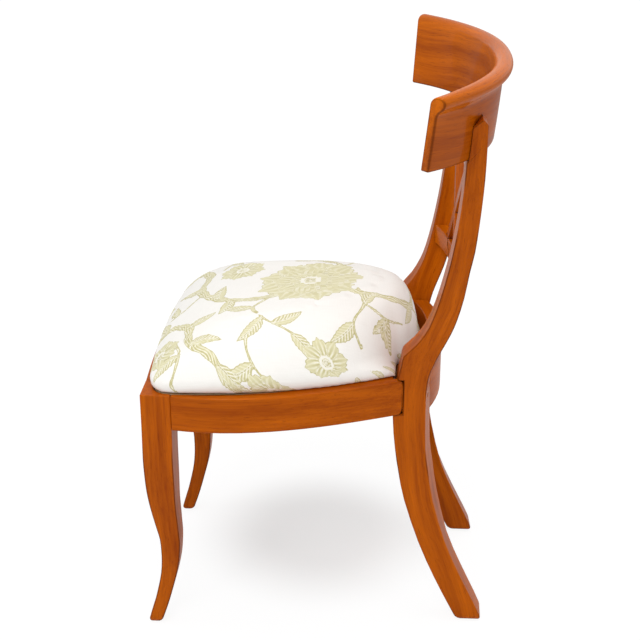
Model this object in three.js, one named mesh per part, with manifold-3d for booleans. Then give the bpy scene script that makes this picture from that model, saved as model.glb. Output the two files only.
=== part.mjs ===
// Klismos chair with a lift-out seat, in millimetres, +Z up.
// The front is -Y, the sitter's left is +X, and the origin lies on the floor under the middle of its box.
import * as THREE from "three";
import { mergeVertices } from "three/addons/utils/BufferGeometryUtils.js";
import Module from "manifold-3d";

const wasm = await Module();
wasm.setup();

// General sizes
const jointGap = 0.3;
const cutOverrun = 40;

// Seat frame of the chair: the four rails and what they meet
const railTop = 415;
const railHeight = 55.5;
const railCornerRadius = 8;
const sideRailThickness = 40;
const sideRailRearInset = 2;
const sideRailBow = 26.5;
const sideRailSkewShare = 0.25;
const sideRailRearRun = 14.5;
const sideRailLap = 9;
const railProud = 1.5;
const frontRailThickness = 30;
const frontRailBow = 5;
const rearRailTop = 449;
const rearRailBottom = 350;
const rearRailThickness = 24;
const rearRailBow = 20;
const rearRailSetback = 55.5;
const tenonThickness = 12;
const tenonShoulder = 9;
const tenonLength = 22;

// Front legs
const legFrontY = -251.5;
const legDepth = 44.5;
const legOuterHalf = 206.6;
const legTopWidth = 52;
const legToeReach = 14.5;

// Rear posts, each in one piece with its leg
const postThickness = 40;
const postDepth = 48;
const postTop = 828;
const postFrontY = 112.5;
const postSweep = 110.5;
const postCrestSetback = 12.2;
const postOuterHalf = 140;
const postFootSplay = 11;
const postLean = 97;
const postPeakDrop = 22;
const postPeakSetback = 15;
const postTwist = 8;

// Crest rail
const crestOverlap = 58;
const crestHeight = 106;
const crestBottomHalf = 274;
const crestFlare = 50;
const crestBottomBackY = 230;
const crestTopBackY = 245.2;
const crestBottomSagitta = 94;
const crestTopSagitta = 101;
const crestBottomPowerShare = 3.2;
const crestTopPowerShare = 2.2;
const crestSwellShare = 1.16;
const crestEdgeThickness = 14;
const crestNeckThickness = 12.5;
const crestBeadRadius = 10.5;
const crestInnerRound = 10.5;
const crestBeadReach = 11.5;
const crestEndFall = 1.5;
const crestRoom = 30;
const dowelRadius = 4;
const dowelLength = 14;

// Stay rail and crossed splat
const stayTop = 567;
const stayHeight = 29;
const stayThickness = 20;
const stayBow = 22;
const stayEndY = 178;
const stayTenonLength = 12;
const splatWidth = 18;
const splatThickness = 12;
const splatFootInset = 46.4;
const splatHeadInset = 15.4;
const splatSetback = 13.6;
const splatSocket = 7;

// Corner blocks, their screws and the post pins
const blockGap = 0.8;
const blockTop = 393;
const blockHeight = 26;
const blockLeg = 62;
const screwRadius = 2;
const screwHeadRadius = 4;
const screwHeadLength = 3;
const screwLength = 36;
const screwSpread = 11;
const screwSetbackShare = 0.24;
const pinRadius = 2.5;
const pinLength = 16;
const pinHeight = 384;

// Lift-out seat
const ledgeTop = 393;
const pocketInset = 6;
const frameInset = 8;
const frameThickness = 19;
const frameWidth = 45;
const seatFrontSetback = 1.5;
const seatFrontBow = 5;
const seatFrontOverhang = 0.4;
const seatCorner = 36;
const seatSideBulge = 5;
const seatBulgeY = -30;
const seatWaistInset = 22;
const seatWaistRoom = 11.5;
const seatNotchRound = 9;
const seatRearInset = 8;
const seatRearRoom = 9;
const seatRearBow = 17;
const seatRearCorner = 20;
const seatCurveSteps = [3, 4, 7, 2, 1, 2, 3];
const webWidth = 50;
const webThickness = 1.5;
const webInset = 6;
const webPitchAcross = 88;
const webPitchAlong = 82;
const coverRim = 415.8;
const coverThickness = 3;
const coverRise = 95.5;
const coverDrawIn = 6;
const coverDrawHeight = 18;
const crownCorner = 46;
const crownMiddleY = 80;
const crownSideSpread = 8;
const crownSideY = 62;
const crownTurnInset = 7;
const crownTurnRun = 6.5;
const crownTurn = 17;
const crownRearRoom = 7;
const crownRearBow = 12;
const crownFullnessShare = 4.6;
const crownEdgeShare = 0.79;
const crownTiltShare = 0.075;
const crownTiltY = -40;
const dustInset = 3;
const dustThickness = 1.4;

// Places that follow from the legs' and posts' own
const sideRailFrontHalf = legOuterHalf;
const sideRailRearHalf = postOuterHalf - sideRailRearInset;
const sideRailRearY = postFrontY + sideRailRearRun;
const rearRailEndY = postFrontY + rearRailSetback;
const seatFrontY = legFrontY + seatFrontSetback;
const seatFrontHalf = legOuterHalf + seatFrontOverhang;
const seatWaistHalf = postOuterHalf - seatWaistInset;
const seatWaistY = postFrontY - seatWaistRoom;
const seatRearHalf = postOuterHalf - postThickness - seatRearInset;
const seatRearY = rearRailEndY - seatRearRoom;
const crownSideHalf = postOuterHalf + crownSideSpread;
const crownTurnHalf = postOuterHalf - postThickness - crownTurnInset;
const crownTurnY = postFrontY + crownTurnRun;
const crownRearY = seatRearY - crownRearRoom;

// Colours and finishes
const cherry = new THREE.Color(0.62, 0.24, 0.03);
const beech = new THREE.Color(0.62, 0.44, 0.26);
const wood = () => new THREE.MeshStandardMaterial({ color: cherry, roughness: 0.25, metalness: 0 });
const inner = () => new THREE.MeshStandardMaterial({ color: beech, roughness: 0.7, metalness: 0 });
const steel = () => new THREE.MeshStandardMaterial({ color: 0x9a9a98, roughness: 0.35, metalness: 1 });
const jute = () => new THREE.MeshStandardMaterial({ color: 0x9c7b4a, roughness: 0.95, metalness: 0 });
const foam = () => new THREE.MeshStandardMaterial({ color: 0xe6dcb4, roughness: 0.95, metalness: 0 });
const linen = () => new THREE.MeshStandardMaterial({ color: 0xf2eee4, roughness: 0.9, metalness: 0 });
const black = () => new THREE.MeshStandardMaterial({ color: 0x1c1c1e, roughness: 0.95, metalness: 0 });

const group = new THREE.Group();

// Solids from geometry, and geometry from solids
function solid(geometry) {
  const bare = geometry.clone();
  bare.deleteAttribute("normal");
  bare.deleteAttribute("uv");
  const merged = mergeVertices(bare, jointGap / 1000);
  const index = merged.index.array;
  return new wasm.Manifold(
    new wasm.Mesh({
      numProp: 3,
      vertProperties: new Float32Array(merged.attributes.position.array),
      triVerts: new Uint32Array(index),
    }),
  );
}

function geometryOf(body) {
  const mesh = body.getMesh();
  const count = mesh.vertProperties.length / mesh.numProp;
  const places = new Float32Array(count * 3);
  for (let i = 0; i < count; i++) {
    places.set(mesh.vertProperties.subarray(i * mesh.numProp, i * mesh.numProp + 3), i * 3);
  }
  const geometry = new THREE.BufferGeometry();
  geometry.setAttribute("position", new THREE.BufferAttribute(places, 3));
  geometry.setIndex(new THREE.BufferAttribute(new Uint32Array(mesh.triVerts), 1));
  geometry.computeVertexNormals();
  return geometry;
}

function add(name, body, material) {
  const mesh = new THREE.Mesh(geometryOf(body), material);
  mesh.name = name;
  group.add(mesh);
  return mesh;
}

// A closed skin over sections that all have the same number of points; flat gives the caps' outline
function loft(sections, flat) {
  const size = flat.length;
  const places = sections.flat().flatMap((p) => [p.x, p.y, p.z]);
  const faces = [];
  for (let s = 0; s + 1 < sections.length; s++) {
    for (let i = 0; i < size; i++) {
      const j = (i + 1) % size;
      const a = s * size + i;
      const b = s * size + j;
      faces.push(a, b, b + size);
      faces.push(a, b + size, a + size);
    }
  }
  const last = (sections.length - 1) * size;
  const clockwise = THREE.ShapeUtils.isClockWise(flat);
  for (const face of THREE.ShapeUtils.triangulateShape(flat, [])) {
    const [a, b, c] = clockwise ? face.reverse() : face;
    faces.push(c, b, a);
    faces.push(last + a, last + b, last + c);
  }
  const geometry = new THREE.BufferGeometry();
  geometry.setAttribute("position", new THREE.Float32BufferAttribute(places, 3));
  geometry.setIndex(faces);
  const body = solid(geometry);
  if (body.volume() > 0) return body;
  geometry.setIndex(faces.reverse());
  return solid(geometry);
}

// More sections between the given ones, on smooth curves through their corners
function smoothed(sections, steps) {
  const curves = sections[0].map((_, i) => {
    const corners = sections.map((section) => section[i]);
    return new THREE.CatmullRomCurve3(corners, false, "catmullrom", 0.5);
  });
  const result = [];
  for (let s = 0; s <= steps; s++) result.push(curves.map((curve) => curve.getPoint(s / steps)));
  return result;
}

// An upright slab over a plan outline
function slab(outline, low, high) {
  const shape = new THREE.Shape(outline);
  const geometry = new THREE.ExtrudeGeometry(shape, { depth: high - low, bevelEnabled: false });
  geometry.translate(0, 0, low);
  return solid(geometry);
}

function box(x0, x1, y0, y1, z0, z1) {
  const geometry = new THREE.BoxGeometry(x1 - x0, y1 - y0, z1 - z0);
  geometry.translate((x0 + x1) / 2, (y0 + y1) / 2, (z0 + z1) / 2);
  return solid(geometry);
}

// The mirror image across the plane x = 0
function mirrored(body) {
  const geometry = geometryOf(body);
  geometry.scale(-1, 1, 1);
  geometry.setIndex(Array.from(geometry.index.array).reverse());
  return solid(geometry);
}

function addPair(name, body, material) {
  add(name + "_left", body, material);
  add(name + "_right", mirrored(body), material);
}

// A round bar between two points
function bar(from, to, radius, sides = 16) {
  const along = new THREE.Vector3().subVectors(to, from);
  const geometry = new THREE.CylinderGeometry(radius, radius, along.length(), sides);
  geometry.translate(0, along.length() / 2, 0);
  const up = new THREE.Vector3(0, 1, 0);
  geometry.applyQuaternion(new THREE.Quaternion().setFromUnitVectors(up, along.clone().normalize()));
  geometry.translate(from.x, from.y, from.z);
  return solid(geometry);
}

const place = (x, y, z) => new THREE.Vector3(x, y, z);
const flatPlace = (x, y) => new THREE.Vector2(x, y);
const mix = (a, b, share) => a + (b - a) * share;
const square = [flatPlace(0, 0), flatPlace(1, 0), flatPlace(1, 1), flatPlace(0, 1)];

// A value from a table of shares, taken in a straight line between its rows
function between(table, share, column) {
  let row = 1;
  while (row < table.length - 1 && table[row][0] < share) row++;
  const before = table[row - 1];
  const after = table[row];
  return mix(before[column], after[column], (share - before[0]) / (after[0] - before[0]));
}

// Plan curve of a side rail's outer face, from the front leg to the rear post
const sideRailFrontY = legFrontY + legDepth + jointGap;
const railBottom = railTop - railHeight;

function sideRailHalf(y, setIn = 0) {
  const share = (y - sideRailFrontY) / (sideRailRearY - sideRailFrontY);
  const across = 2 * share - 1;
  const bow = sideRailBow * (1 - across ** 2) * (1 - sideRailSkewShare * across);
  return mix(sideRailFrontHalf, sideRailRearHalf, share) + bow - setIn;
}

function sideRailEdge(setIn, fromY, toY, steps) {
  const points = [];
  for (let i = 0; i <= steps; i++) {
    const y = mix(fromY, toY, i / steps);
    points.push(flatPlace(sideRailHalf(y, setIn), y));
  }
  return points;
}

// Half the cushion's plan as curves, set in by a distance; it steps in between the rear posts
function seatHalf(setIn) {
  const front = seatFrontY + setIn;
  const corner = front + seatFrontBow;
  const wide = seatFrontHalf - setIn;
  const waist = seatWaistHalf - setIn;
  const back = seatRearHalf - setIn;
  const rearEdge = seatRearY - seatRearBow - setIn;
  const half = new THREE.Path();
  half.moveTo(0, front);
  half.quadraticCurveTo(wide / 2, front, wide - seatCorner, corner);
  half.quadraticCurveTo(wide, corner + seatFrontBow / 2, wide, corner + seatCorner);
  half.quadraticCurveTo(wide + seatSideBulge, seatBulgeY, waist, seatWaistY - setIn);
  half.quadraticCurveTo(waist - seatNotchRound / 2, seatWaistY + seatNotchRound - setIn, back, seatWaistY + seatNotchRound - setIn);
  half.lineTo(back - seatNotchRound / 4, rearEdge - seatRearCorner);
  half.quadraticCurveTo(back - seatNotchRound / 2, rearEdge, back - seatRearCorner, rearEdge);
  half.quadraticCurveTo(back / 2, seatRearY - setIn, 0, seatRearY - setIn);
  return half;
}

// The whole outline from its left half
function mirroredOutline(half, front, back) {
  const side = [];
  half.curves.forEach((curve, i) => {
    for (const p of curve.getPoints(seatCurveSteps[i]).slice(1)) side.push(p);
  });
  side.pop();
  const round = [flatPlace(0, front), ...side, flatPlace(0, back)];
  for (const p of side.slice().reverse()) round.push(flatPlace(-p.x, p.y));
  return round;
}

function seatOutline(setIn) {
  return mirroredOutline(seatHalf(setIn), seatFrontY + setIn, seatRearY - setIn);
}

const pocket = slab(seatOutline(pocketInset), ledgeTop, railTop + cutOverrun);

// Front legs: shares of the height, then of the toe's reach forward, the depth and the width
const frontLegShares = [
  [0, 1, 0.46, 0.52],
  [0.05, 0.6, 0.5, 0.53],
  [0.11, 0.06, 0.51, 0.54],
  [0.18, -0.45, 0.53, 0.57],
  [0.235, -0.78, 0.56, 0.6],
  [0.29, -0.95, 0.61, 0.64],
  [0.34, -0.99, 0.65, 0.67],
  [0.39, -0.94, 0.69, 0.7],
  [0.43, -0.74, 0.74, 0.73],
  [0.47, -0.52, 0.8, 0.76],
  [0.53, -0.24, 0.87, 0.82],
  [0.58, -0.07, 0.93, 0.88],
  [0.63, 0.03, 0.97, 0.93],
  [0.69, 0.08, 0.99, 0.97],
  [0.75, 0.1, 1, 0.99],
  [0.87, 0.03, 1, 1],
  [1, 0, 1, 1],
];

function frontLeg() {
  const sections = frontLegShares.map(([up, reach, depth, width]) => {
    const front = legFrontY - legToeReach * reach;
    const back = front + legDepth * depth;
    const outer = legOuterHalf - legTopWidth * (1 - width);
    const inside = outer - legTopWidth * width;
    const z = railTop * up;
    return [place(inside, front, z), place(outer, front, z), place(outer, back, z), place(inside, back, z)];
  });
  return loft(smoothed(sections, (frontLegShares.length - 1) * 2), square);
}

const legBackY = legFrontY + legDepth;
const legInnerHalf = legOuterHalf - legTopWidth;
const sideTenonHalf = legOuterHalf - legTopWidth / 2;
const frontTenonY = legFrontY + frontRailThickness / 2;

// A tenon, or the mortise round it when it is grown by the joint's gap
function sideFrontTenon(grow) {
  return box(
    sideTenonHalf - tenonThickness / 2 - grow,
    sideTenonHalf + tenonThickness / 2 + grow,
    legBackY - tenonLength - grow,
    legBackY + tenonLength,
    railBottom + tenonShoulder - grow,
    ledgeTop - tenonShoulder + grow,
  );
}

function frontRailTenon(grow) {
  return box(
    legInnerHalf - tenonLength,
    legInnerHalf + tenonLength / 2 + grow,
    frontTenonY - tenonThickness / 2 - grow,
    frontTenonY + tenonThickness / 2 + grow,
    railBottom + tenonShoulder - grow,
    ledgeTop - tenonShoulder + grow,
  );
}

// Rear posts: shares of the height, of the sweep behind the front at the seat, and of the depth
const postShares = [
  [0, 1, 0.825],
  [0.04, 0.846, 0.87],
  [0.097, 0.638, 0.87],
  [0.171, 0.403, 0.86],
  [0.26, 0.186, 0.9],
  [0.319, 0.095, 0.94],
  [0.366, 0.041, 0.95],
  [0.429, 0, 1.01],
  [0.48, 0.032, 0.94],
  [0.513, 0.063, 0.94],
  [0.534, 0.095, 0.98],
  [0.554, 0.122, 1.04],
  [0.577, 0.271, 0.865],
  [0.604, 0.394, 0.77],
  [0.632, 0.475, 0.73],
  [0.676, 0.561, 0.69],
  [0.727, 0.638, 0.625],
  [0.765, 0.683, 0.625],
  [0.814, 0.729, 0.583],
  [0.875, 0.765, 0.552],
  [0.926, 0.774, 0.542],
  [1, 0.8, 0.46],
];
const postLeanStart = railTop / postTop;
const postTopShare = 0.8;
const crestBottom = postTop - crestOverlap;
const crestTop = crestBottom + crestHeight;
const crestTopHalf = crestBottomHalf + crestFlare;

// The posts' upper ends stand off the crest's outer face by the same setback, whatever the crest's plan
const dowelUpShare = 0.25;
const dowelZ = crestBottom + crestHeight * dowelUpShare;
const dowelAt = crestFaceAt(postOuter(dowelZ) - postThickness / 2, dowelUpShare);
const postUpperSweep = (dowelAt.y - postCrestSetback - postFrontY) / postTopShare;
const twistShares = [
  [0, 0.2],
  [0.17, 0.5],
  [0.25, 1],
  [0.46, 1],
  [0.56, 0.2],
  [1, 0],
];

function postOuter(z) {
  const above = Math.max(0, z / postTop - postLeanStart) / (1 - postLeanStart);
  const below = Math.max(0, 1 - z / railBottom);
  return postOuterHalf + postLean * above + postFootSplay * below;
}

function rearPostBlank() {
  const sections = postShares.map(([up, sweep, depth]) => {
    const z = postTop * up;
    const front = postFrontY + (up < postLeanStart ? postSweep : postUpperSweep) * sweep;
    const back = front + postDepth * depth;
    const twist = postTwist * between(twistShares, up, 1);
    const outer = postOuter(z);
    const inside = outer - postThickness;
    return [place(inside, front, z), place(outer, front, z), place(outer, back, z), place(inside, back + twist, z)];
  });
  return loft(smoothed(sections, (postShares.length - 1) * 2), square);
}

const postMiddle = postOuterHalf - postThickness / 2;

function sideRearTenon(grow) {
  return box(
    postMiddle - tenonThickness / 2 - grow,
    postMiddle + tenonThickness / 2 + grow,
    postFrontY - tenonLength,
    postFrontY + tenonLength + grow,
    railBottom + tenonShoulder - grow,
    ledgeTop - tenonShoulder + grow,
  );
}

function rearRailTenon(grow) {
  const middle = rearRailEndY - rearRailThickness / 2;
  return box(
    postOuterHalf - postThickness - tenonLength / 3,
    postOuterHalf - postThickness + tenonLength / 3 + grow,
    middle - tenonThickness / 2 - grow,
    middle + tenonThickness / 2 + grow,
    railBottom + tenonShoulder - grow,
    rearRailTop - tenonShoulder * 2 + grow,
  );
}

// The side rail's end laps over the outside of the post, in a shallow housing
function railLapHousing(grow) {
  return box(
    postOuterHalf - sideRailLap - grow,
    postOuterHalf + cutOverrun,
    postFrontY - cutOverrun,
    sideRailRearY + grow,
    railBottom - grow,
    railTop + grow,
  );
}

function sideRail() {
  const outer = sideRailEdge(-railProud, sideRailFrontY, sideRailRearY, 14);
  const inside = sideRailEdge(sideRailThickness, sideRailFrontY, sideRailRearY, 14).reverse();
  let rail = slab([...outer, ...inside], railBottom, railTop);
  const side = new THREE.Shape();
  const r = railCornerRadius;
  side.moveTo(sideRailFrontY, railBottom);
  side.lineTo(sideRailRearY - r, railBottom);
  side.absarc(sideRailRearY - r, railBottom + r, r, -Math.PI / 2, 0, false);
  side.lineTo(sideRailRearY, railTop - r);
  side.absarc(sideRailRearY - r, railTop - r, r, 0, Math.PI / 2, false);
  side.lineTo(sideRailFrontY, railTop);
  const face = new THREE.ExtrudeGeometry(side, { depth: legOuterHalf * 2, bevelEnabled: false, curveSegments: 5 });
  face.applyMatrix4(new THREE.Matrix4().set(0, 0, 1, 0, 1, 0, 0, 0, 0, 1, 0, 0, 0, 0, 0, 1));
  rail = rail.intersect(solid(face));
  const behind = box(
    -cutOverrun,
    postOuterHalf - sideRailLap + jointGap,
    postFrontY - jointGap,
    sideRailRearY + cutOverrun,
    railBottom - cutOverrun,
    railTop + cutOverrun,
  );
  rail = rail.subtract(behind).subtract(pocket);
  return rail.add(sideFrontTenon(0)).add(sideRearTenon(0));
}

function frontRail() {
  const points = [];
  const steps = 12;
  const end = legInnerHalf - jointGap;
  for (let i = 0; i <= steps; i++) {
    const share = (2 * i) / steps - 1;
    points.push(flatPlace(end * share, legFrontY - frontRailBow * (1 - share ** 2)));
  }
  const backY = legFrontY + frontRailThickness;
  points.push(flatPlace(end, backY), flatPlace(-end, backY));
  const rail = slab(points, railBottom, railTop).subtract(pocket);
  return rail.add(frontRailTenon(0)).add(mirrored(frontRailTenon(0)));
}

// A bowed rail between the posts; its ends follow the posts' inner faces with a small gap
function bowedRail(low, high, endY, bow, thickness, halfAt) {
  const steps = 12;
  const sections = [];
  for (let i = 0; i <= steps; i++) {
    const share = (2 * i) / steps - 1;
    const back = endY + bow * (1 - share ** 2);
    const front = back - thickness;
    const lowX = halfAt(low) * share;
    const highX = halfAt(high) * share;
    sections.push([place(lowX, front, low), place(lowX, back, low), place(highX, back, high), place(highX, front, high)]);
  }
  return loft(sections, square);
}

const postInnerGap = (z) => postOuter(z) - postThickness - jointGap;
const rearRailStraightEnd = () => postOuterHalf - postThickness - jointGap;

function rearRail() {
  const rail = bowedRail(
    rearRailBottom, rearRailTop, rearRailEndY, rearRailBow, rearRailThickness, rearRailStraightEnd,
  );
  return rail.add(rearRailTenon(0)).add(mirrored(rearRailTenon(0)));
}

const stayBottom = stayTop - stayHeight;
const stayMiddleY = stayEndY + stayThickness / 2;

function stayTenon(grow) {
  const z = (stayTop + stayBottom) / 2;
  const face = postInnerGap(z);
  const halfHeight = stayHeight / 2 - tenonShoulder / 2;
  return box(
    face - stayTenonLength / 2,
    face + stayTenonLength + grow,
    stayMiddleY - stayThickness / 4 - grow,
    stayMiddleY + stayThickness / 4 + grow,
    z - halfHeight - grow,
    z + halfHeight + grow,
  );
}

// Crest rail: a plan curve at its lower edge and one at its top, and a section that ends in a bead
function crestPoint(across, outward, up) {
  const far = Math.abs(across);
  const half = mix(crestBottomHalf, crestTopHalf, up);
  const sagitta = mix(crestBottomSagitta, crestTopSagitta, up);
  const power = mix(crestBottomPowerShare, crestTopPowerShare, up);
  const backY = mix(crestBottomBackY, crestTopBackY, up);
  const steepness = (power * sagitta * far ** (power - 1)) / half;
  const normal = flatPlace(steepness * Math.sign(across), 1).normalize();
  const reach = outward * mix(crestSwellShare, 1, far ** 2);
  const z = mix(crestBottom, crestTop - crestEndFall * far ** 4, up);
  return place(half * across + normal.x * reach, backY - sagitta * far ** power + normal.y * reach, z);
}

// The crest's outer face at a place across, found by halving
function crestFaceAt(x, up) {
  let low = 0;
  let high = 1;
  for (let i = 0; i < 40; i++) {
    const across = (low + high) / 2;
    if (crestPoint(across, crestEdgeThickness, up).x < x) low = across;
    else high = across;
  }
  return crestPoint(low, crestEdgeThickness, up);
}

const splatHighHalf = postOuter(crestBottom) - postThickness - splatHeadInset;
const splatLowHalf = postInnerGap(stayTop) - splatFootInset;
const splatHighY = crestFaceAt(splatHighHalf, 0).y - splatSetback;
const splatLowY = stayEndY + stayThickness / 2 + stayBow * (1 - (splatLowHalf / postInnerGap(stayTop)) ** 2);

// The crest's section: across in millimetres, up in shares of its height
function crestSection(grow, room) {
  const point = (x, down) => flatPlace(x, 1 - down / crestHeight);
  const inside = crestInnerRound;
  const bead = crestBeadRadius + grow;
  const inner = -grow - room;
  const section = [point(crestEdgeThickness + grow, crestHeight + grow), point(inner, crestHeight + grow)];
  const cornerSteps = 3;
  for (let i = 0; i <= cornerSteps; i++) {
    const angle = mix(Math.PI, Math.PI / 2, i / cornerSteps);
    const reach = (inside - inner) * Math.cos(angle);
    section.push(point(inside + reach, inside - (inside + grow) * Math.sin(angle)));
  }
  const beadSteps = 9;
  for (let i = 0; i <= beadSteps; i++) {
    const angle = mix(Math.PI / 2, -Math.PI / 3, i / beadSteps);
    section.push(point(crestBeadReach + bead * Math.cos(angle), crestBeadRadius - bead * Math.sin(angle)));
  }
  section.push(point(crestNeckThickness + grow, crestBeadRadius * 2.4));
  return section;
}

// Shares along half the crest where it has a section
const crestStationShares = [0, 0.08, 0.16, 0.24, 0.32, 0.4, 0.48, 0.56, 0.63, 0.7, 0.76, 0.82, 0.88, 0.94, 1];

function crestLoft(grow, room = 0) {
  const section = crestSection(grow, room);
  const left = crestStationShares.slice(1).reverse();
  const stations = [...left.map((share) => -share), ...crestStationShares];
  const sections = stations.map((across) => section.map((p) => crestPoint(across, p.x, p.y)));
  return loft(sections, section);
}

// The crossed bars stand in one leaning plane and are halved into each other
function splatBar(grow, direction) {
  const lowZ = stayTop - splatSocket;
  const highZ = crestBottom + splatSocket;
  const rise = highZ - lowZ;
  const run = splatHighHalf + splatLowHalf;
  const halfWide = ((splatWidth / 2 + grow) * Math.hypot(run, rise)) / rise;
  const halfDeep = splatThickness / 2 + grow;
  const end = (z, x, y) => [
    place(direction * (x - halfWide), y - halfDeep, z),
    place(direction * (x + halfWide), y - halfDeep, z),
    place(direction * (x + halfWide), y + halfDeep, z),
    place(direction * (x - halfWide), y + halfDeep, z),
  ];
  const low = end(lowZ - grow, -splatLowHalf, splatLowY);
  const high = end(highZ + grow, splatHighHalf, splatHighY);
  return loft([low, high], square);
}

// The half of a crossed bar's thickness that the other bar takes, in front or behind
function halving(side) {
  const halfPlane = (z, y) => [
    place(-crestTopHalf, y, z),
    place(crestTopHalf, y, z),
    place(crestTopHalf, y + side * cutOverrun, z),
    place(-crestTopHalf, y + side * cutOverrun, z),
  ];
  const slope = (splatHighY - splatLowY) / (crestBottom + splatSocket - (stayTop - splatSocket));
  const yAt = (z) => splatLowY + slope * (z - (stayTop - splatSocket)) - (side * jointGap) / 2;
  const low = halfPlane(stayBottom, yAt(stayBottom));
  const high = halfPlane(crestTop, yAt(crestTop));
  return loft([low, high], square);
}

// Corner blocks fill the corners under the lift-out seat
function frontBlock() {
  const frontY = legFrontY + frontRailThickness + jointGap;
  const legX = legInnerHalf - jointGap;
  const legY = legBackY + jointGap;
  const railEdge = sideRailEdge(sideRailThickness + blockGap, legY, legY + blockLeg, 4);
  const points = [flatPlace(legX - blockLeg, frontY), flatPlace(legX, frontY), flatPlace(legX, legY), ...railEdge];
  return slab(points, blockTop - blockHeight, blockTop);
}

function rearBlock() {
  const postX = postOuterHalf - postThickness - jointGap;
  const rearY = rearRailEndY - rearRailThickness - jointGap;
  const postY = postFrontY + jointGap;
  const edge = sideRailEdge(sideRailThickness + blockGap, postY - blockLeg, postY, 4);
  const points = [
    ...edge,
    flatPlace(postX, postY),
    flatPlace(postX, rearY),
    flatPlace(postX - blockLeg, rearY),
  ];
  return slab(points, blockTop - blockHeight, blockTop);
}

// A screw from the block's long face towards a corner, with the hole that it needs
function screw(at, towards, grow) {
  const along = new THREE.Vector3().subVectors(towards, at).normalize();
  const head = bar(at, at.clone().addScaledVector(along, screwHeadLength), screwHeadRadius + grow, 12);
  const overlapStart = at.clone().addScaledVector(along, screwHeadLength / 2);
  const tip = at.clone().addScaledVector(along, screwLength + grow);
  const tail = at.clone().addScaledVector(along, -cutOverrun);
  const shank = bar(overlapStart, tip, screwRadius + grow, 12);
  const body = head.add(shank);
  return grow > 0 ? body.add(bar(tail, overlapStart, screwHeadRadius + grow, 12)) : body;
}

function frontScrewPlace(index) {
  const z = blockTop - blockHeight / 2 + (index - 0.5) * screwSpread;
  const legX = legInnerHalf;
  const legY = legBackY;
  const from = place(legX - blockLeg * screwSetbackShare, legY + blockLeg * screwSetbackShare, z);
  return [from, place(legX, legY, z)];
}

function rearScrewPlace(index) {
  const z = blockTop - blockHeight / 2 + (index - 0.5) * screwSpread;
  const postX = postOuterHalf - postThickness;
  const y = rearRailEndY - rearRailThickness - screwHeadRadius * 1.2;
  return [place(postX - blockLeg * screwSetbackShare, y, z), place(postX, y, z)];
}

// Pins and dowels
function postPin(grow) {
  const x = postMiddle;
  const backY = postFrontY + postDepth;
  const open = grow > 0 ? cutOverrun : 0;
  return bar(place(x, backY - pinLength - grow, pinHeight), place(x, backY + open, pinHeight), pinRadius + grow, 12);
}

function crestDowel(grow) {
  const reach = dowelLength / 2 + grow;
  const from = place(dowelAt.x, dowelAt.y - reach, dowelAt.z);
  return bar(from, place(dowelAt.x, dowelAt.y + reach, dowelAt.z), dowelRadius + grow, 12);
}

// The post's slanted top, lowest at the front
function postTopCut() {
  const peakY = postFrontY + postUpperSweep * postTopShare + postPeakSetback;
  const shape = new THREE.Shape([
    flatPlace(peakY - cutOverrun * 2, postTop - postPeakDrop * 3.2),
    flatPlace(peakY, postTop),
    flatPlace(peakY + cutOverrun, postTop - postPeakDrop * 2),
    flatPlace(peakY + cutOverrun, postTop + cutOverrun),
    flatPlace(peakY - cutOverrun * 2, postTop + cutOverrun),
  ]);
  const geometry = new THREE.ExtrudeGeometry(shape, { depth: crestTopHalf * 2, bevelEnabled: false });
  geometry.applyMatrix4(new THREE.Matrix4().set(0, 0, 1, 0, 1, 0, 0, 0, 0, 1, 0, 0, 0, 0, 0, 1));
  return solid(geometry);
}

function buildLegs() {
  let leg = frontLeg().subtract(pocket);
  leg = leg.subtract(sideFrontTenon(jointGap)).subtract(frontRailTenon(jointGap));
  for (const index of [0, 1]) {
    const [from, to] = frontScrewPlace(index);
    leg = leg.subtract(screw(from, to, jointGap));
  }
  addPair("front_leg", leg, wood());
}

function buildPosts() {
  let post = rearPostBlank();
  post = post.subtract(railLapHousing(jointGap)).subtract(sideRearTenon(jointGap));
  post = post.subtract(rearRailTenon(jointGap)).subtract(stayTenon(jointGap));
  const crestNotch = crestLoft(jointGap, crestRoom);
  post = post.subtract(crestNotch).subtract(mirrored(crestNotch)).subtract(postTopCut());
  post = post.subtract(crestDowel(jointGap)).subtract(postPin(jointGap));
  for (const index of [0, 1]) {
    const [from, to] = rearScrewPlace(index);
    post = post.subtract(screw(from, to, jointGap));
  }
  addPair("rear_post", post, wood());
  addPair("post_pin", postPin(0), wood());
  addPair("crest_dowel", crestDowel(0), inner());
}

function buildRails() {
  add("front_rail", frontRail(), wood());
  addPair("side_rail", sideRail(), wood());
  add("rear_rail", rearRail(), wood());
}

function buildBack() {
  const bars = [splatBar(jointGap, 1), splatBar(jointGap, -1)];
  let crest = crestLoft(0).subtract(crestDowel(jointGap)).subtract(mirrored(crestDowel(jointGap)));
  let stay = bowedRail(stayBottom, stayTop, stayEndY + stayThickness, stayBow, stayThickness, postInnerGap);
  stay = stay.add(stayTenon(0)).add(mirrored(stayTenon(0)));
  for (const cut of bars) {
    crest = crest.subtract(cut);
    stay = stay.subtract(cut);
  }
  add("crest_rail", crest, wood());
  add("stay_rail", stay, wood());
  const frontBar = splatBar(0, 1).subtract(splatBar(jointGap, -1).intersect(halving(1)));
  const rearBar = splatBar(0, -1).subtract(splatBar(jointGap, 1).intersect(halving(-1)));
  add("splat_bar_front", frontBar, wood());
  add("splat_bar_rear", rearBar, wood());
}

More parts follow.
